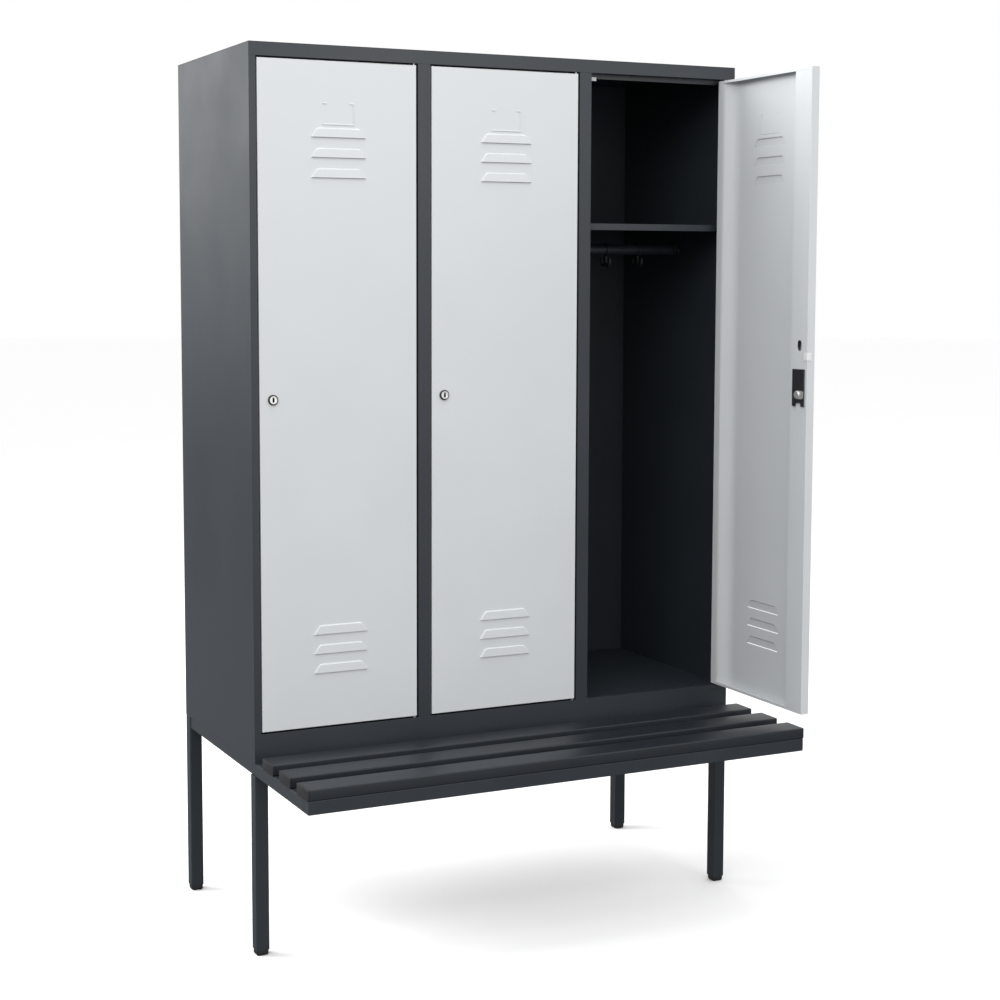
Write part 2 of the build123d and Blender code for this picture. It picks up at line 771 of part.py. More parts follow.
save(bench_front_rail, "bench_front_rail")

cross_rails = (
    ("mid", left + tube_inset + rail_width, right - tube_inset - rail_width, front + tube_inset),
    ("rear", left + leg_size, right - leg_size, back - leg_size + tube_inset),
)
for name, start, end, y in cross_rails:
    with BuildPart() as cross_rail:
        with BuildSketch(Plane.YZ.offset(start)):
            tube_section(y, rail_underside)
        extrude(amount=end - start)
        with BuildSketch(Plane.XY.offset(rail_underside)):
            with Locations(*[place for place in bolt_places if y < place[1] < y + rail_width]):
                Circle(bolt_radius + bolt_play)
        extrude(amount=rail_height, mode=Mode.SUBTRACT)
    save(cross_rail, f"bench_{name}_rail")

# Slats and the screws that come up through the rails into them
for name, y in zip(slat_names, slat_middles):
    with BuildPart() as slat:
        with BuildSketch(Plane.XY.offset(seat_frame_top)):
            rect(left + slat_end_gap, y - slat_width / 2, right - slat_end_gap, y + slat_width / 2)
        extrude(amount=slat_thickness)
        fillet(edges(), slat_round)
        with BuildSketch(Plane.XY.offset(seat_frame_top)):
            with Locations(*[place for place in screw_places if abs(place[1] - y) < slat_width / 2]):
                Circle(screw_radius + running_fit)
        extrude(amount=screw_bite + seat_play, mode=Mode.SUBTRACT)
    save(slat, f"slat_{name}")

with BuildPart() as slat_screws:
    with BuildSketch(Plane.XY.offset(rail_underside - screw_head_height)):
        with Locations(*screw_places):
            Circle(screw_head_radius)
    extrude(amount=screw_head_height)
    with BuildSketch(Plane.XY.offset(rail_underside)):
        with Locations(*screw_places):
            Circle(screw_radius)
    extrude(amount=rail_height + screw_bite)
save(slat_screws, "slat_screws")

with BuildPart() as body_bolts:
    with BuildSketch(Plane.XY.offset(rail_underside - bolt_head_height)):
        with Locations(*bolt_places):
            RegularPolygon(bolt_head_radius, side_count=6)
    extrude(amount=bolt_head_height)
    with BuildSketch(Plane.XY.offset(rail_underside)):
        with Locations(*bolt_places):
            Circle(bolt_radius)
    extrude(amount=rail_height + sheet)
    with BuildSketch(Plane.XY.offset(body_bottom + sheet)):
        with Locations(*bolt_places):
            RegularPolygon(bolt_head_radius, side_count=6)
    extrude(amount=nut_height)
save(body_bolts, "body_bolts")
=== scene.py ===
"""Clothes locker with a bench: surfaces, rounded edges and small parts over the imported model."""

import json
import math

import bmesh
import bpy
from bpy.props import FloatProperty, FloatVectorProperty, IntProperty, PointerProperty
from mathutils import Matrix, Vector


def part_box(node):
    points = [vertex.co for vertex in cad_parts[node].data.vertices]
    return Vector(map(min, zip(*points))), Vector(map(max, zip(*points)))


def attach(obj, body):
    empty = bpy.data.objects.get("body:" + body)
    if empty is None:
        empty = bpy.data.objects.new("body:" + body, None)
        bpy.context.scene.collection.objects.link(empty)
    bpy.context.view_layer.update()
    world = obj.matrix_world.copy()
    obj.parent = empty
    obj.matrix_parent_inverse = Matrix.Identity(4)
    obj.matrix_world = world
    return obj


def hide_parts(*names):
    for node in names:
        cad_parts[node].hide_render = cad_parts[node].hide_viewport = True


bl_info = {
    "name": "Locker With Bench",
    "version": (1, 0, 0),
    "blender": (4, 5, 0),
    "location": "3D View > Sidebar > Locker",
    "description": "Paint, plastics and small parts for a three-door locker on a bench frame",
    "category": "Add Mesh",
}

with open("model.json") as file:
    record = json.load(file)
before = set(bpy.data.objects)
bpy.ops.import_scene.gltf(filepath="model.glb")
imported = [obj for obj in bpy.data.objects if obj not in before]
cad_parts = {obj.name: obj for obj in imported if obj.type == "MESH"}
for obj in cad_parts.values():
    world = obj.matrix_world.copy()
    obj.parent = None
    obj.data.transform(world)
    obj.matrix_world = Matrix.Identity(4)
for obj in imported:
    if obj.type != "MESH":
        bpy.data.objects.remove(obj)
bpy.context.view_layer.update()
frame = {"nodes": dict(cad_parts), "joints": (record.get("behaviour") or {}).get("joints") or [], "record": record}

MILLIMETRE = 0.001
WELD_DISTANCE = 0.01 * MILLIMETRE
FLAT_ANGLE = math.radians(0.4)
FOLD_ANGLE = math.radians(32)
FLAT_FACE_WEIGHT = 80
COMPARTMENTS = ("left", "middle", "right")
SLAT_NAMES = ("front", "middle", "rear")
BODY_SHEETS = (
    "side_panel_left",
    "side_panel_right",
    "back_panel",
    "roof_panel",
    "floor_panel",
    "partition_left",
    "partition_right",
    "frame_top_rail",
    "frame_bottom_rail",
    "frame_stile_left",
    "frame_stile_mid_left",
    "frame_stile_mid_right",
    "frame_stile_right",
    "hat_shelves",
    "shelf_clips",
)
FRAME_TUBES = (
    "leg_front_left",
    "leg_front_right",
    "leg_rear_left",
    "leg_rear_right",
    "bench_arms",
    "bench_front_rail",
    "bench_mid_rail",
    "bench_rear_rail",
)
# Name, place, aim, size in metres, power in watts, and whether the paint's gloss mirrors it.
LAMPS = (
    ("key_lamp", (-3.0, -3.2, 4.0), (0, 0, 1.5), 2.4, 82, True),
    ("front_lamp", (1.3, -4.0, 2.4), (0, 0, 1.8), 1.2, 20, True),
    ("low_lamp", (0.2, -4.6, 0.9), (0.3, 0, 1.2), 1.8, 16, True),
    ("side_lamp", (-4.2, 2.6, 3.4), (-0.6, 0.2, 1.8), 3.6, 360, False),
    ("sheen_lamp", (-2.2, 4.6, 2.7), (-0.6, 0.2, 1.9), 1.6, 11, True),
    ("top_lamp", (-0.2, -0.8, 4.4), (0, 0, 1.2), 2.4, 42, True),
)


def linear_colour(hex_code):
    """Turns an sRGB hex colour such as #c8ccce into linear red, green and blue."""
    channels = [int(hex_code[start : start + 2], 16) / 255 for start in (1, 3, 5)]
    return tuple(c / 12.92 if c <= 0.04045 else ((c + 0.055) / 1.055) ** 2.4 for c in channels)


def body_of_node(node):
    """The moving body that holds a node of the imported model."""
    bodies = frame["record"]["behaviour"]["bodies"]
    return next(body for body, nodes in bodies.items() if node in nodes)


def slot_of_node(node):
    """The material slot that the record gives a node."""
    parts = frame["record"]["subparts"]
    return next(part["material_slot"] for part in parts if part["node"] == node)


def joint_named(name):
    """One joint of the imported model, with its place and axis."""
    return next(joint for joint in frame["joints"] if joint["name"] == name)


class LockerPaint(bpy.types.PropertyGroup):
    """Colours of the powder coats and the texture of their film."""

    body_colour: FloatVectorProperty(
        name="Body colour",
        description="Anthracite of the body, its inside and the bench frame",
        subtype="COLOR",
        size=3,
        min=0,
        max=1,
        default=linear_colour("#262c32"),
    )
    door_colour: FloatVectorProperty(
        name="Door colour",
        description="Light grey of the doors",
        subtype="COLOR",
        size=3,
        min=0,
        max=1,
        default=linear_colour("#cccfd1"),
    )
    film_grain: FloatProperty(
        name="Film grain",
        description="Width of one ripple in the paint film",
        unit="LENGTH",
        min=0.0005,
        default=0.0022,
    )
    fold_radius: FloatProperty(
        name="Edge radius",
        description="Rounding of the sheet metal's edges",
        unit="LENGTH",
        min=0.0001,
        max=0.00049,
        default=0.00042,
    )
    tube_radius: FloatProperty(
        name="Tube radius",
        description="Rounding of the square tube's corners",
        unit="LENGTH",
        min=0.0001,
        max=0.00099,
        default=0.00095,
    )


class LockerPlastics(bpy.types.PropertyGroup):
    """Colours of the moulded and extruded plastics, and the form of the slats."""

    slat_colour: FloatVectorProperty(
        name="Slat colour",
        description="Dark grey of the bench slats",
        subtype="COLOR",
        size=3,
        min=0,
        max=1,
        default=linear_colour("#1d2228"),
    )
    black_colour: FloatVectorProperty(
        name="Black plastic",
        description="Feet, lock cases, rail sockets and coat hooks",
        subtype="COLOR",
        size=3,
        min=0,
        max=1,
        default=linear_colour("#1d1e20"),
    )
    buffer_colour: FloatVectorProperty(
        name="Buffer colour",
        description="Soft plastic of the door buffers",
        subtype="COLOR",
        size=3,
        min=0,
        max=1,
        default=linear_colour("#e2e4e3"),
    )
    slat_radius: FloatProperty(
        name="Slat edge radius",
        description="Rounding of the long edges of a slat",
        unit="LENGTH",
        min=0.001,
        max=0.01,
        default=0.0026,
    )
    slat_cap: FloatProperty(
        name="Slat end cap",
        description="Thickness of the cap that closes a slat's end",
        unit="LENGTH",
        min=0.001,
        default=0.0035,
    )


class LockerMetals(bpy.types.PropertyGroup):
    """Bare and plated metal."""

    zinc_colour: FloatVectorProperty(
        name="Zinc plating",
        description="Coat rails, pins, screws and bolts",
        subtype="COLOR",
        size=3,
        min=0,
        max=1,
        default=linear_colour("#b4b7ba"),
    )
    nickel_colour: FloatVectorProperty(
        name="Nickel plating",
        description="Lock barrels and plugs",
        subtype="COLOR",
        size=3,
        min=0,
        max=1,
        default=linear_colour("#e6e7e6"),
    )
    turned_steps: IntProperty(
        name="Turned steps",
        description="Steps round the turned metal pieces",
        min=24,
        max=128,
        default=64,
    )


# Materials


def add_node(material, kind, inputs=None, **settings):
    """Adds one node with its settings, and its inputs as values or as links from other sockets."""
    node = material.node_tree.nodes.new(kind)
    for key, value in settings.items():
        setattr(node, key, value)
    for key, value in (inputs or {}).items():
        if isinstance(value, bpy.types.NodeSocket):
            material.node_tree.links.new(value, node.inputs[key])
        else:
            node.inputs[key].default_value = value
    return node


def new_surface(name, **inputs):
    """A material with one shader, whose sockets take the plain values that are given."""
    material = bpy.data.materials.new(name)
    material.use_nodes = True
    shader = material.node_tree.nodes["Principled BSDF"]
    for key, value in inputs.items():
        shader.inputs[key].default_value = value
    return material, shader


def object_place(material, stretch=(1, 1, 1)):
    """Object coordinates, stretched along each axis where a pattern has a direction."""
    where = add_node(material, "ShaderNodeTexCoord")
    spread = add_node(
        material, "ShaderNodeMapping", {"Vector": where.outputs["Object"], "Scale": stretch}
    )
    return spread.outputs["Vector"]


def tinted(material, colour, factor, darker, lighter):
    """A colour that wanders between a darker and a lighter tone of itself."""
    ramp = add_node(material, "ShaderNodeValToRGB", {"Fac": factor})
    for stop, strength in zip(ramp.color_ramp.elements, (darker, lighter)):
        stop.color = (*[min(1, channel * strength) for channel in colour], 1)
    ramp.color_ramp.elements[0].position = 0.35
    ramp.color_ramp.elements[1].position = 0.65
    return ramp.outputs["Color"]


def ranged(material, factor, low, high):
    """A pattern's middle values spread over a range, for roughness."""
    spread = add_node(
        material,
        "ShaderNodeMapRange",
        {"Value": factor, "From Min": 0.3, "From Max": 0.7, "To Min": low, "To Max": high},
    )
    return spread.outputs["Result"]


def powder_coated_steel(name, colour, grain, roughness, tone):
    """Steel with a baked powder coat: an even satin colour, with a soft ripple in its gloss."""
    material, shader = new_surface(name, IOR=1.5)
    links = material.node_tree.links
    place = object_place(material)
    # The ripple of a powder film is about 2 mm wide and a few hundredths of a millimetre deep.
    ripple = add_node(
        material,
        "ShaderNodeTexNoise",
        {"Vector": place, "Scale": 1 / grain, "Detail": 2.0, "Roughness": 0.45},
    )
    cloud = add_node(
        material, "ShaderNodeTexNoise", {"Vector": place, "Scale": 5.0, "Detail": 3.0}
    )
    links.new(tinted(material, colour, cloud.outputs["Fac"], *tone), shader.inputs["Base Color"])
    gloss = ranged(material, cloud.outputs["Fac"], roughness - 0.03, roughness + 0.04)
    links.new(gloss, shader.inputs["Roughness"])
    relief = add_node(
        material,
        "ShaderNodeBump",
        {"Height": ripple.outputs["Fac"], "Strength": 0.22, "Distance": 0.00012},
    )
    links.new(relief.outputs["Normal"], shader.inputs["Normal"])
    return material


def moulded_abs(name, colour, roughness):
    """Moulded ABS with a spark-eroded grain that breaks the highlight into fine specks."""
    material, shader = new_surface(name, IOR=1.54)
    links = material.node_tree.links
    place = object_place(material)
    # The real grain is 0.1 mm; it is drawn at 0.5 mm so that it shows.
    grain = add_node(
        material, "ShaderNodeTexVoronoi", {"Vector": place, "Scale": 1 / 0.0005}, feature="F1"
    )
    cloud = add_node(
        material, "ShaderNodeTexNoise", {"Vector": place, "Scale": 60.0, "Detail": 3.0}
    )
    links.new(
        tinted(material, colour, cloud.outputs["Fac"], darker=0.88, lighter=1.12),
        shader.inputs["Base Color"],
    )
    gloss = ranged(material, cloud.outputs["Fac"], roughness - 0.05, roughness + 0.06)
    links.new(gloss, shader.inputs["Roughness"])
    relief = add_node(
        material,
        "ShaderNodeBump",
        {"Height": grain.outputs["Distance"], "Strength": 0.25, "Distance": 0.00008},
    )
    links.new(relief.outputs["Normal"], shader.inputs["Normal"])
    return material


def extruded_slat_plastic(name, colour):
    """Extruded hollow plastic profile: matt, with fine draw lines along the slat."""
    material, shader = new_surface(name, IOR=1.44)
    links = material.node_tree.links
    # Draw lines are about 0.8 mm apart across the slat and run for half a metre along it.
    lines = add_node(
        material,
        "ShaderNodeTexNoise",
        {"Vector": object_place(material, (2, 1250, 1250)), "Scale": 1.0, "Detail": 3.0},
    )
    cloud = add_node(
        material,
        "ShaderNodeTexNoise",
        {"Vector": object_place(material, (3, 18, 18)), "Scale": 1.0, "Detail": 4.0},
    )
    links.new(
        tinted(material, colour, cloud.outputs["Fac"], darker=0.92, lighter=1.08),
        shader.inputs["Base Color"],
    )
    gloss = ranged(material, lines.outputs["Fac"], low=0.4, high=0.5)
    links.new(gloss, shader.inputs["Roughness"])
    relief = add_node(
        material,
        "ShaderNodeBump",
        {"Height": lines.outputs["Fac"], "Strength": 0.18, "Distance": 0.0001},
    )
    links.new(relief.outputs["Normal"], shader.inputs["Normal"])
    return material


def soft_polyethylene(name, colour):
    """Natural polyethylene of a buffer: waxy, a little see-through at its edges."""
    material, shader = new_surface(name, IOR=1.51)
    shader.inputs["Subsurface Weight"].default_value = 0.25
    shader.inputs["Subsurface Radius"].default_value = (0.003, 0.0025, 0.002)
    shader.inputs["Subsurface Scale"].default_value = 1.0
    links = material.node_tree.links
    place = object_place(material)
    cloud = add_node(
        material, "ShaderNodeTexNoise", {"Vector": place, "Scale": 150.0, "Detail": 3.0}
    )
    links.new(
        tinted(material, colour, cloud.outputs["Fac"], darker=0.95, lighter=1.03),
        shader.inputs["Base Color"],
    )
    gloss = ranged(material, cloud.outputs["Fac"], low=0.42, high=0.55)
    links.new(gloss, shader.inputs["Roughness"])
    relief = add_node(
        material,
        "ShaderNodeBump",
        {"Height": cloud.outputs["Fac"], "Strength": 0.1, "Distance": 0.0001},
    )
    links.new(relief.outputs["Normal"], shader.inputs["Normal"])
    return material


def zinc_plated_steel(name, colour):
    """Drawn steel with bright zinc: a soft sheen with long draw marks and cloudy plating."""
    material, shader = new_surface(name, Metallic=1.0)
    links = material.node_tree.links
    # Draw marks are about 0.4 mm apart round the tube and a few centimetres long.
    marks = add_node(
        material,
        "ShaderNodeTexNoise",
        {"Vector": object_place(material, (30, 2500, 2500)), "Scale": 1.0, "Detail": 2.0},
    )
    cloud = add_node(
        material,
        "ShaderNodeTexNoise",
        {"Vector": object_place(material), "Scale": 45.0, "Detail": 4.0},
    )
    links.new(
        tinted(material, colour, cloud.outputs["Fac"], darker=0.86, lighter=1.08),
        shader.inputs["Base Color"],
    )
    gloss = ranged(material, marks.outputs["Fac"], low=0.26, high=0.42)
    links.new(gloss, shader.inputs["Roughness"])
    relief = add_node(
        material,
        "ShaderNodeBump",
        {"Height": marks.outputs["Fac"], "Strength": 0.12, "Distance": 0.00006},
    )
    links.new(relief.outputs["Normal"], shader.inputs["Normal"])
    return material


def nickel_plated_zinc(name, colour):
    """Die-cast lock parts with satin nickel: bright from every side, with slight handling haze."""
    material, shader = new_surface(name, Metallic=0.85)
    links = material.node_tree.links
    place = object_place(material)
    haze = add_node(
        material, "ShaderNodeTexNoise", {"Vector": place, "Scale": 220.0, "Detail": 4.0}
    )
    links.new(
        tinted(material, colour, haze.outputs["Fac"], darker=0.93, lighter=1.04),
        shader.inputs["Base Color"],
    )
    gloss = ranged(material, haze.outputs["Fac"], low=0.34, high=0.46)
    links.new(gloss, shader.inputs["Roughness"])
    relief = add_node(
        material,
        "ShaderNodeBump",
        {"Height": haze.outputs["Fac"], "Strength": 0.06, "Distance": 0.00005},
    )
    links.new(relief.outputs["Normal"], shader.inputs["Normal"])
    return material


def finish_of(slot):
    """The finished material of one of the record's material slots, made once and then shared."""
    paint = bpy.context.scene.locker_paint
    plastics = bpy.context.scene.locker_plastics
    metals = bpy.context.scene.locker_metals
    names = {
        "anthracite_paint": "powder_coated_steel_anthracite",
        "light_grey_paint": "powder_coated_steel_light_grey",
        "black_plastic": "moulded_abs_black",
        "slat_plastic": "extruded_slat_plastic",
        "white_plastic": "soft_polyethylene",
        "zinc_steel": "zinc_plated_steel",
        "lock_chrome": "nickel_plated_zinc",
    }
    name = names[slot]
    if name in bpy.data.materials:
        return bpy.data.materials[name]
    if slot == "anthracite_paint":
        return powder_coated_steel(
            name, paint.body_colour, paint.film_grain, roughness=0.42, tone=(0.95, 1.05)
        )
    if slot == "light_grey_paint":
        return powder_coated_steel(
            name, paint.door_colour, paint.film_grain, roughness=0.38, tone=(0.985, 1.01)
        )
    if slot == "black_plastic":
        return moulded_abs(name, plastics.black_colour, roughness=0.5)
    if slot == "slat_plastic":
        return extruded_slat_plastic(name, plastics.slat_colour)
    if slot == "white_plastic":
        return soft_polyethylene(name, plastics.buffer_colour)
    if slot == "zinc_steel":
        return zinc_plated_steel(name, metals.zinc_colour)
    return nickel_plated_zinc(name, metals.nickel_colour)


# Shapes


def place_piece(shape, name, slot, body):
    """Turns a finished bmesh into a piece that rides on a body and wears the finish of a slot."""
    bmesh.ops.recalc_face_normals(shape, faces=shape.faces)
    mesh = bpy.data.meshes.new(name)
    shape.to_mesh(mesh)
    shape.free()
    mesh.materials.append(finish_of(slot))
    piece = bpy.data.objects.new(name, mesh)
    bpy.context.scene.collection.objects.link(piece)
    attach(piece, body)
    return piece


def shade_by_angle(piece, degrees):
    """Smooth shading, with the edges that are sharper than an angle left crisp."""
    mesh = piece.data
    for polygon in mesh.polygons:
        polygon.use_smooth = True
    shape = bmesh.new()
    shape.from_mesh(mesh)
    for edge in shape.edges:
        edge.smooth = edge.calc_face_angle(math.pi) < math.radians(degrees)
    shape.to_mesh(mesh)
    shape.free()


def rounded_copy(node, radius, segments):
    """A merged copy of a node with every folded or cut edge rounded, shown in the node's place."""
    source = frame["nodes"][node].data
    shape = bmesh.new()
    shape.from_mesh(source)
    bmesh.ops.remove_doubles(shape, verts=shape.verts, dist=WELD_DISTANCE)
    bmesh.ops.dissolve_limit(shape, angle_limit=FLAT_ANGLE, verts=shape.verts, edges=shape.edges)
    slot = slot_of_node(node)
    mesh = bpy.data.meshes.new(f"{node}_finished")
    shape.to_mesh(mesh)
    shape.free()
    if "custom_normal" in mesh.attributes:
        mesh.attributes.remove(mesh.attributes["custom_normal"])
    mesh.materials.append(finish_of(slot))
    piece = bpy.data.objects.new(f"{node}_finished", mesh)
    bpy.context.scene.collection.objects.link(piece)
    for polygon in mesh.polygons:
        polygon.use_smooth = True
    rounding = piece.modifiers.new("rounded edges", "BEVEL")
    rounding.width = radius
    rounding.segments = segments
    rounding.limit_method = "ANGLE"
    rounding.angle_limit = FOLD_ANGLE
    rounding.use_clamp_overlap = False
    rounding.loop_slide = False
    facing = piece.modifiers.new("flat faces stay flat", "WEIGHTED_NORMAL")
    facing.weight = FLAT_FACE_WEIGHT
    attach(piece, body_of_node(node))
    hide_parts(node)
    return piece


def turned_ring(shape, profile, centre, axis, steps):
    """Turns a profile of (radius, height) points round an axis into a closed ring or knob."""
    axis = Vector(axis).normalized()
    across = axis.orthogonal().normalized()
    corners = [
        shape.verts.new(Vector(centre) + across * radius + axis * height)
        for radius, height in profile
    ]
    edges = [shape.edges.new(pair) for pair in zip(corners, corners[1:])]
    bmesh.ops.spin(
        shape,
        geom=corners + edges,
        cent=centre,
        axis=axis,
        angle=math.tau,
        steps=steps,
        use_merge=True,
        use_duplicate=False,
    )
    bmesh.ops.remove_doubles(shape, verts=shape.verts, dist=WELD_DISTANCE)


def scaled_block(shape, low, high):
    """A block between two corners, and the vertices that it is made of."""
    low, high = Vector(low), Vector(high)
    made = bmesh.ops.create_cube(shape, size=1.0)["verts"]
    bmesh.ops.scale(shape, vec=high - low, verts=made)
    bmesh.ops.translate(shape, vec=(low + high) / 2, verts=made)
    return made


def edges_along(verts, axis):
    """The edges of a block that run along one axis."""
    edges = {edge for vert in verts for edge in vert.link_edges}
    return [
        edge
        for edge in edges
        if abs((edge.verts[0].co - edge.verts[1].co).normalized()[axis]) > 0.99
    ]


def locate_round(shape, centre, axis):
    """Turns what lies on the Z axis of a new bmesh so that it points along an axis at a place."""
    turn = Vector((0, 0, 1)).rotation_difference(Vector(axis)).to_matrix().to_4x4()
    bmesh.ops.transform(shape, matrix=Matrix.Translation(centre) @ turn, verts=shape.verts)


# Pieces


class FinishBodySheets(bpy.types.Operator):
    """Round the edges of the body's sheet metal and paint it anthracite"""

    bl_idname = "locker.finish_body_sheets"
    bl_label = "Body Sheets"

    def execute(self, context):
        for node in BODY_SHEETS:
            rounded_copy(node, context.scene.locker_paint.fold_radius, segments=2)
        return {"FINISHED"}


class FinishFrameTubes(bpy.types.Operator):
    """Round the corners of the bench frame's square tubes and paint them"""

    bl_idname = "locker.finish_frame_tubes"
    bl_label = "Frame Tubes"

    def execute(self, context):
        for node in FRAME_TUBES:
            rounded_copy(node, context.scene.locker_paint.tube_radius, segments=3)
        return {"FINISHED"}


class FinishDoors(bpy.types.Operator):
    """Round the pressed doors with their louvres, and the channels behind the locks"""

    bl_idname = "locker.finish_doors"
    bl_label = "Doors"

    def execute(self, context):
        radius = context.scene.locker_paint.fold_radius
        for side in COMPARTMENTS:
            rounded_copy(f"door_panel_{side}", radius, segments=2)
            rounded_copy(f"lock_channel_{side}", radius, segments=2)
        return {"FINISHED"}


class FinishLocks(bpy.types.Operator):
    """Lock cases, barrels and plugs, each with a rosette, a key slot darkened by painted shade and a clip"""

    bl_idname = "locker.finish_locks"
    bl_label = "Locks"

    def execute(self, context):
        steps = context.scene.locker_metals.turned_steps
        for side in COMPARTMENTS:
            rounded_copy(f"lock_case_{side}", radius=0.0006, segments=3)
            rounded_copy(f"lock_barrel_{side}", radius=0.0005, segments=3)
            rounded_copy(f"lock_cam_{side}", radius=0.0003, segments=2)
            joint = joint_named(f"lock_{side}_turn")
            outward = Vector(joint["axis"])
            centre = Vector(joint["pos_m"])
            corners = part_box(f"lock_barrel_{side}")
            reach = max(abs((corner - centre).dot(outward)) for corner in corners)
            face = centre + outward * reach
            self.add_rosette(side, face, outward, steps)
            self.add_keyway_shade(side, face, outward)
            self.add_clip(side, centre, outward)
        return {"FINISHED"}

    def add_rosette(self, side, face, outward, steps):
        """A black shell round the head of the barrel, which leaves its bright face free."""
        # Radii from the axis and heights from the barrel's face, in millimetres.
        bright, rim, shoulder = 8.2, 9.05, 11.12
        lip, under_lip = 0.12, -0.1
        slope_end, under_slope, foot = -1.95, -2.05, -4.9
        thin, wall = 0.1, 0.22
        profile = (
            (bright, under_lip),
            (bright + thin, lip),
            (rim, lip),
            (shoulder, slope_end),
            (shoulder, foot),
            (shoulder - wall, foot),
            (shoulder - wall, under_slope),
            (rim - thin, under_lip),
            (bright, under_lip),
        )
        shape = bmesh.new()
        points = [(radius * MILLIMETRE, height * MILLIMETRE) for radius, height in profile]
        turned_ring(shape, points, face, outward, steps)
        rosette = place_piece(shape, f"lock_rosette_{side}", "black_plastic", f"door_{side}")
        shade_by_angle(rosette, degrees=35)

    def add_keyway_shade(self, side, face, outward):
        """Painted shade: a black shell lines the key slot and darkens it as the slot's depth would, with a thin
        rim that lies on the face of the plug.
        """
        # Half widths and half heights of each outline, and its height over the barrel's face.
        outer_width, outer_height = 0.00156, 0.00496
        inner_width, inner_height = 0.00152, 0.00492
        rim_width, rim_height = 0.0023, 0.0056
        taper, skin = 0.0001, 0.0001
        rim_low, rim_high, slot_floor = -0.00042, -0.0003, -0.0082
        outlines = (
            (outer_width, outer_height, slot_floor - skin),
            (outer_width, outer_height, rim_low),
            (rim_width, rim_height, rim_low),
            (rim_width - taper, rim_height - taper, rim_high),
            (inner_width, inner_height, rim_high),
            (inner_width, inner_height, slot_floor),
        )
        shape = bmesh.new()
        for band in zip(outlines, outlines[1:]):
            edges = [edge for outline in band for edge in self.slot_outline(shape, *outline)]
            bmesh.ops.bridge_loops(shape, edges=edges)
        for outline in (outlines[0], outlines[-1]):
            bmesh.ops.edgeloop_fill(shape, edges=self.slot_outline(shape, *outline))
        bmesh.ops.remove_doubles(shape, verts=shape.verts, dist=WELD_DISTANCE)
        up = Vector((0, 0, 1))
        turn = Matrix((up.cross(outward), up, outward)).transposed().to_4x4()
        bmesh.ops.transform(shape, matrix=Matrix.Translation(face) @ turn, verts=shape.verts)
        # Painted shade: this black piece stands in for the shade deep in the key slot.
        keyway_shade = place_piece(shape, f"keyway_{side}", "black_plastic", f"lock_{side}")
        shade_by_angle(keyway_shade, degrees=35)

    def slot_outline(self, shape, half_width, half_height, height):
        """The closed outline of an upright slot with round ends, as edges."""
        arc_steps = 16
        corners = []
        for end in (1, -1):
            for step in range(arc_steps + 1):
                angle = math.pi * step / arc_steps + (0 if end == 1 else math.pi)
                across = half_width * math.cos(angle)
                rise = end * (half_height - half_width) + half_width * math.sin(angle)
                corners.append(shape.verts.new((across, rise, height)))
        return [shape.edges.new(pair) for pair in zip(corners, corners[1:] + corners[:1])]

    def add_clip(self, side, centre, outward):
        """The plated clip that holds the lock: a tab on the case, cut out round the plug's nut."""
        cut_radius = 0.0095
        half_width = 0.0092
        length = 0.0215
        corner_radius = 0.005
        sheet = 0.0009
        air = 0.00005
        rows = 24
        inmost = min((corner - centre).dot(outward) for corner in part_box(f"lock_case_{side}"))
        along = outward.cross(Vector((0, 0, 1)))
        start = centre + outward * (inmost - air)
        cut_side, far_side = [], []
        for row in range(rows + 1):
            rise = half_width * (2 * row / rows - 1)
            past_corner = max(0, abs(rise) - half_width + corner_radius)
            cut = math.sqrt(cut_radius**2 - rise**2)
            end = length - corner_radius + math.sqrt(corner_radius**2 - past_corner**2)
            cut_side.append(start + along * cut + Vector((0, 0, rise)))
            far_side.append(start + along * end + Vector((0, 0, rise)))
        shape = bmesh.new()
        outline = [shape.verts.new(place) for place in cut_side + far_side[::-1]]
        shape.faces.new(outline)
        thickness = bmesh.ops.extrude_face_region(shape, geom=shape.faces[:])["geom"]
        raised = [part for part in thickness if isinstance(part, bmesh.types.BMVert)]
        bmesh.ops.translate(shape, vec=-outward * (sheet - air), verts=raised)
        clip = place_piece(shape, f"lock_clip_{side}", "lock_chrome", f"door_{side}")
        shade_by_angle(clip, degrees=35)


class FinishBuffersAndFeet(bpy.types.Operator):
    """Soft buffers at the doors and the black plugs in the legs"""

    bl_idname = "locker.finish_buffers_and_feet"
    bl_label = "Buffers And Feet"

    def execute(self, context):
        for side in COMPARTMENTS:
            rounded_copy(f"edge_buffer_{side}", radius=0.0005, segments=3)
        rounded_copy("door_stop_buffers", radius=0.0005, segments=3)
        rounded_copy("foot_plugs", radius=0.0006, segments=3)
        return {"FINISHED"}


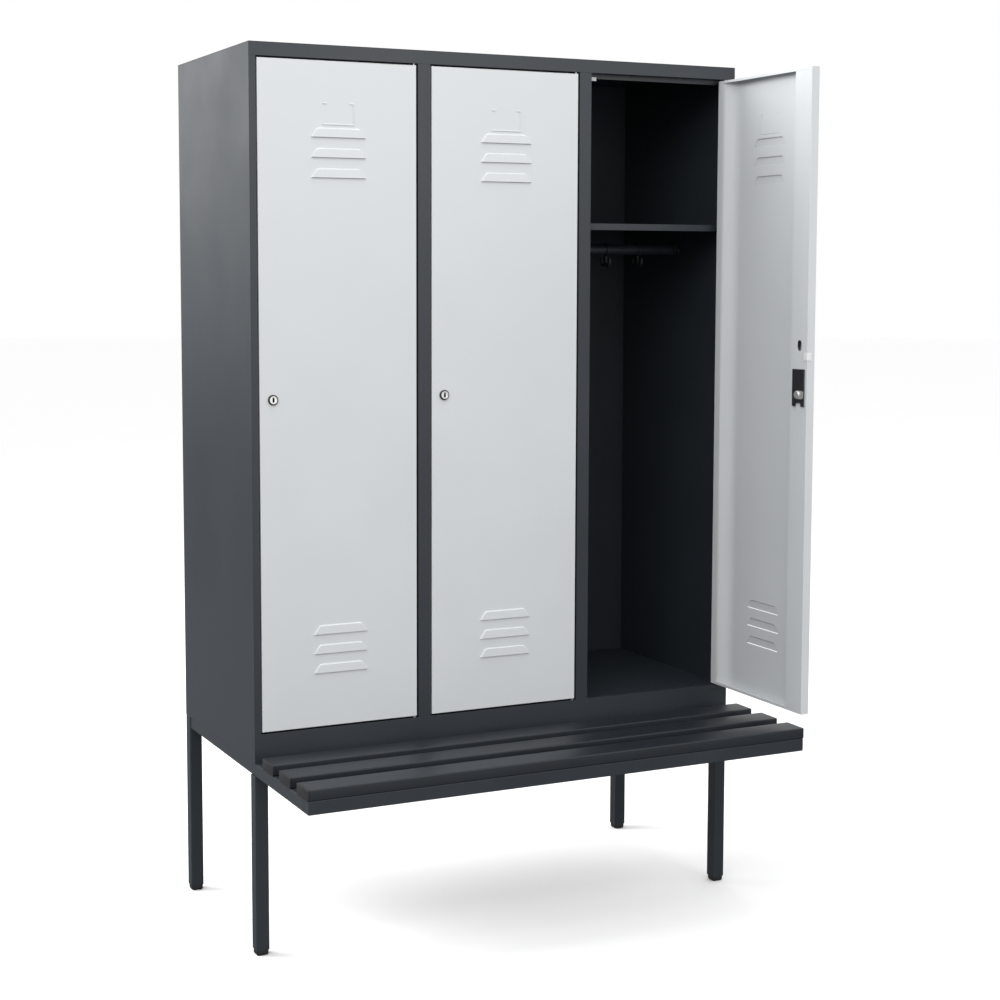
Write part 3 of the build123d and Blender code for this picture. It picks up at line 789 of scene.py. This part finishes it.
class FinishCoatRails(bpy.types.Operator):
    """Coat rails with their sockets and screws, and the sliding double hooks"""

    bl_idname = "locker.finish_coat_rails"
    bl_label = "Coat Rails"

    def execute(self, context):
        rounded_copy("coat_rails", radius=0.0004, segments=2)
        rounded_copy("rail_sockets", radius=0.0008, segments=3)
        for side in COMPARTMENTS:
            for number in (1, 2, 3):
                rounded_copy(f"coat_hook_{side}_{number}", radius=0.0014, segments=3)
        self.add_socket_screws()
        return {"FINISHED"}

    def add_socket_screws(self):
        """Two small screw heads on the flange of each rail socket."""
        head_radius, head_flatness = 0.0017, 0.45
        slot_half_width, slot_half_length = 0.0002, 0.0012
        slot_low, slot_high = 0.0004, 0.0009
        edge_radius = 0.0001
        screw_offset = 0.01775
        low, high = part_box("rail_sockets")
        middle = (low + high) / 2
        shape = bmesh.new()
        for x, inward in self.socket_faces():
            for across in (-1, 1):
                head = bmesh.new()
                bmesh.ops.create_uvsphere(head, u_segments=20, v_segments=10, radius=head_radius)
                bmesh.ops.scale(head, vec=(1, 1, head_flatness), verts=head.verts)
                slot = scaled_block(
                    head,
                    (-slot_half_width, -slot_half_length, slot_low),
                    (slot_half_width, slot_half_length, slot_high),
                )
                bmesh.ops.bevel(
                    head,
                    geom=edges_along(slot, 1),
                    offset=edge_radius,
                    offset_type="OFFSET",
                    affect="EDGES",
                    segments=1,
                    profile=0.5,
                    material=-1,
                )
                place = (x, middle.y + across * screw_offset, middle.z)
                locate_round(head, place, (inward, 0, 0))
                mesh = bpy.data.meshes.new("socket_screw")
                head.to_mesh(mesh)
                head.free()
                shape.from_mesh(mesh)
                bpy.data.meshes.remove(mesh)
        screws = place_piece(shape, "socket_screws", "zinc_steel", "root")
        shade_by_angle(screws, degrees=40)

    def socket_faces(self):
        """Where each socket's flange faces into its compartment, and the way that it faces."""
        flange = 0.0025
        rails_low, rails_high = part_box("coat_rails")
        left_low, left_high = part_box("partition_left")
        right_low, right_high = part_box("partition_right")
        return (
            (rails_low.x, 1),
            (left_low.x - flange, -1),
            (left_high.x + flange, 1),
            (right_low.x - flange, -1),
            (right_high.x + flange, 1),
            (rails_high.x, -1),
        )


class BuildSlats(bpy.types.Operator):
    """Extruded bench slats with rounded long edges and a cap at each end"""

    bl_idname = "locker.build_slats"
    bl_label = "Bench Slats"

    def execute(self, context):
        plastics = context.scene.locker_plastics
        cap = Vector((plastics.slat_cap, 0, 0))
        radius = plastics.slat_radius
        seam = Vector((0.0003, 0, 0))
        cap_edge_radius, rim_angle = 0.0008, math.radians(60)
        for name in SLAT_NAMES:
            node = f"slat_{name}"
            low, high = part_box(node)
            length = Vector((high.x - low.x, 0, 0))
            shape = bmesh.new()
            block = scaled_block(shape, low + cap, high - cap)
            self.round_edges(shape, edges_along(block, 0), radius, segments=5)
            slat = place_piece(shape, f"slat_profile_{name}", "slat_plastic", "root")
            shade_by_angle(slat, degrees=35)
            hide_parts(node)
            shape = bmesh.new()
            for corners in (
                (low, high - length + cap - seam),
                (low + length - cap + seam, high),
            ):
                block = scaled_block(shape, *corners)
                self.round_edges(shape, edges_along(block, 0), radius, segments=5)
            rims = [edge for edge in shape.edges if edge.calc_face_angle(0) > rim_angle]
            self.round_edges(shape, rims, cap_edge_radius, segments=2)
            caps = place_piece(shape, f"slat_caps_{name}", "black_plastic", "root")
            shade_by_angle(caps, degrees=35)
        return {"FINISHED"}

    def round_edges(self, shape, edges, radius, segments):
        """Rounds a set of edges."""
        bmesh.ops.bevel(
            shape,
            geom=edges,
            offset=radius,
            offset_type="OFFSET",
            affect="EDGES",
            segments=segments,
            profile=0.5,
            material=-1,
            clamp_overlap=True,
        )


class FinishFasteners(bpy.types.Operator):
    """Hinge pins, slat screws and the bolts that hold the body to its frame"""

    bl_idname = "locker.finish_fasteners"
    bl_label = "Fasteners"

    def execute(self, context):
        rounded_copy("hinge_pins", radius=0.0003, segments=2)
        rounded_copy("slat_screws", radius=0.0006, segments=3)
        rounded_copy("body_bolts", radius=0.0004, segments=2)
        return {"FINISHED"}


class BuildStage(bpy.types.Operator):
    """Pale floor, soft studio light and the camera"""

    bl_idname = "locker.build_stage"
    bl_label = "Stage"

    def execute(self, context):
        self.lay_floor()
        self.set_sky()
        for lamp in LAMPS:
            self.hang_lamp(*lamp)
        self.aim_camera()
        return {"FINISHED"}

    def lay_floor(self):
        """A wide matt floor of one pale tone with a faint cloud in it, which bounces light as dark grey for
        painted shade.
        """
        floor_radius = 40
        shape = bmesh.new()
        bmesh.ops.create_circle(shape, cap_ends=True, radius=floor_radius, segments=96)
        mesh = bpy.data.meshes.new("studio_floor")
        shape.to_mesh(mesh)
        shape.free()
        material, shader = new_surface("studio_floor_paint", Roughness=0.85)
        links = material.node_tree.links
        cloud = add_node(
            material, "ShaderNodeTexNoise", {"Vector": object_place(material), "Scale": 1.5}
        )
        pale = linear_colour("#fdfdfd")
        tone = tinted(material, pale, cloud.outputs["Fac"], darker=0.995, lighter=1.0)
        links.new(tone, shader.inputs["Base Color"])
        # Painted shade: bounced light sees the floor as dark grey while the camera sees it as pale, which darkens
        # the locker's lower parts.
        painted_shade_bounce = add_node(
            material, "ShaderNodeBsdfDiffuse", {"Color": (*linear_colour("#6a6a6a"), 1)}
        )
        seen = add_node(material, "ShaderNodeLightPath")
        mixed = add_node(
            material,
            "ShaderNodeMixShader",
            {"Fac": seen.outputs["Is Camera Ray"], 1: painted_shade_bounce.outputs[0], 2: shader.outputs[0]},
        )
        links.new(mixed.outputs[0], material.node_tree.nodes["Material Output"].inputs["Surface"])
        mesh.materials.append(material)
        floor = bpy.data.objects.new("studio_floor", mesh)
        bpy.context.scene.collection.objects.link(floor)

    def set_sky(self):
        """Even white light from all round."""
        sky = bpy.data.worlds.new("studio_white")
        sky.use_nodes = True
        light = sky.node_tree.nodes["Background"]
        light.inputs["Color"].default_value = (1, 1, 1, 1)
        light.inputs["Strength"].default_value = 1.0
        bpy.context.scene.world = sky
        bpy.context.scene.view_settings.view_transform = "Standard"

    def hang_lamp(self, name, place, aim, size, power, mirrored):
        """One square soft box that points at a spot, out of sight, and mirrored in gloss or not."""
        lamp = bpy.data.lights.new(name, "AREA")
        lamp.shape = "SQUARE"
        lamp.size = size
        lamp.energy = power
        holder = bpy.data.objects.new(name, lamp)
        holder.visible_camera = False
        holder.visible_glossy = mirrored
        holder.location = place
        holder.rotation_euler = (Vector(aim) - Vector(place)).to_track_quat("-Z", "Y").to_euler()
        bpy.context.scene.collection.objects.link(holder)

    def aim_camera(self):
        """The camera stands left of the locker, turned towards it and tipped down a little."""
        tip, turn = math.radians(5.15), math.radians(24.9)
        lens = bpy.data.cameras.new("camera")
        lens.sensor_width = 36
        lens.lens = 65.97
        lens.shift_x = 0.06
        lens.shift_y = -0.06
        lens.clip_start = 0.05
        lens.clip_end = 200
        camera = bpy.data.objects.new("camera", lens)
        camera.location = (-1.862, -3.7331, 1.4716)
        camera.rotation_euler = (math.pi / 2 - tip, 0, -turn)
        bpy.context.scene.collection.objects.link(camera)
        bpy.context.scene.camera = camera


class LockerPanel(bpy.types.Panel):
    """Lists the locker's pieces and settings in the sidebar"""

    bl_idname = "VIEW3D_PT_locker"
    bl_label = "Locker"
    bl_space_type = "VIEW_3D"
    bl_region_type = "UI"
    bl_category = "Locker"

    def draw(self, context):
        for operator in PIECE_OPERATORS:
            self.layout.operator(operator.bl_idname)
        for settings in (
            context.scene.locker_paint,
            context.scene.locker_plastics,
            context.scene.locker_metals,
        ):
            box = self.layout.box()
            for name in settings.__annotations__:
                box.prop(settings, name)


SETTINGS = (LockerPaint, LockerPlastics, LockerMetals)
PIECE_OPERATORS = (
    FinishBodySheets,
    FinishFrameTubes,
    FinishDoors,
    FinishLocks,
    FinishBuffersAndFeet,
    FinishCoatRails,
    BuildSlats,
    FinishFasteners,
    BuildStage,
)


def register():
    """Registers the settings, the operators and the panel."""
    for kind in SETTINGS + PIECE_OPERATORS + (LockerPanel,):
        bpy.utils.register_class(kind)
    bpy.types.Scene.locker_paint = PointerProperty(type=LockerPaint)
    bpy.types.Scene.locker_plastics = PointerProperty(type=LockerPlastics)
    bpy.types.Scene.locker_metals = PointerProperty(type=LockerMetals)


def unregister():
    """Takes away what register added."""
    del bpy.types.Scene.locker_metals
    del bpy.types.Scene.locker_plastics
    del bpy.types.Scene.locker_paint
    for kind in reversed(SETTINGS + PIECE_OPERATORS + (LockerPanel,)):
        bpy.utils.unregister_class(kind)


def main():
    """Builds every piece and the stage."""
    register()
    for operator in PIECE_OPERATORS:
        group, name = operator.bl_idname.split(".")
        result = getattr(getattr(bpy.ops, group), name)()
        if result != {"FINISHED"}:
            raise RuntimeError(f"{operator.bl_label} was not built")


if __name__ == "__main__":
    main()
